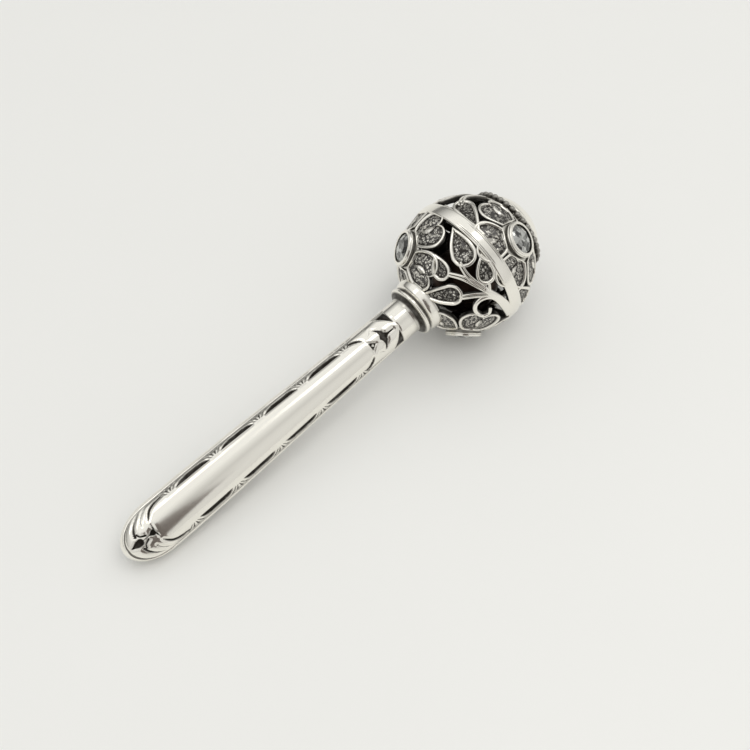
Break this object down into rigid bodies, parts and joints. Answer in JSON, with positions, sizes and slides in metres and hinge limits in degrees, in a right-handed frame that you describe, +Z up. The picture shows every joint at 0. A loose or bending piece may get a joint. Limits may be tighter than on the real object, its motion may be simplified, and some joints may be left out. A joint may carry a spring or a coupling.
{
  "type": "baby rattle",
  "caption": "Silver baby rattle: an openwork globe of flowers and leaves set with clear stones, with a loose bell inside, on a hollow handle.",
  "frame": {"origin": "centre of the bounding box on the surface that the rattle lies on", "axes": "+X along the rattle from the handle's end to the globe, +Z up as it lies on a table"},
  "size_m": [0.1104, 0.0302, 0.0303],
  "materials": {
    "silver": "polished, darkened in the recesses",
    "stones": "faceted, clear",
    "bell_brass": "dull",
    "pellet_steel": "plain"
  },
  "bodies": {
    "rattle": {"handle_front_shell": "silver", "handle_back_shell": "silver", "handle_tang": "silver", "neck_flange": "silver", "neck_collar": "silver", "near_tracery": "silver", "far_tracery": "silver", "equator_band": "silver", "pole_cap": "silver", "pole_beads": "silver", "near_flower_left": "silver", "near_flower_right": "silver", "far_flower_front": "silver", "far_flower_back": "silver", "near_bezel_left": "silver", "near_bezel_right": "silver", "far_bezel_front": "silver", "far_bezel_back": "silver", "near_stone_left": "stones", "near_stone_right": "stones", "far_stone_front": "stones", "far_stone_back": "stones"},
    "bell": {"bell_upper_shell": "bell_brass", "bell_lower_shell": "bell_brass"},
    "pellet": {"bell_pellet": "pellet_steel"}
  },
  "joints": [
    {"name": "bell_roll", "type": "hinge", "parent": "rattle", "child": "bell", "pos_m": [0.03895, 0, 0.01515], "axis": [0.9932, 0, 0.1165], "continuous": true},
    {"name": "pellet_roll", "type": "hinge", "parent": "bell", "child": "pellet", "pos_m": [0.03895, 0, 0.00924], "axis": [0, 1, 0], "continuous": true}
  ]
}
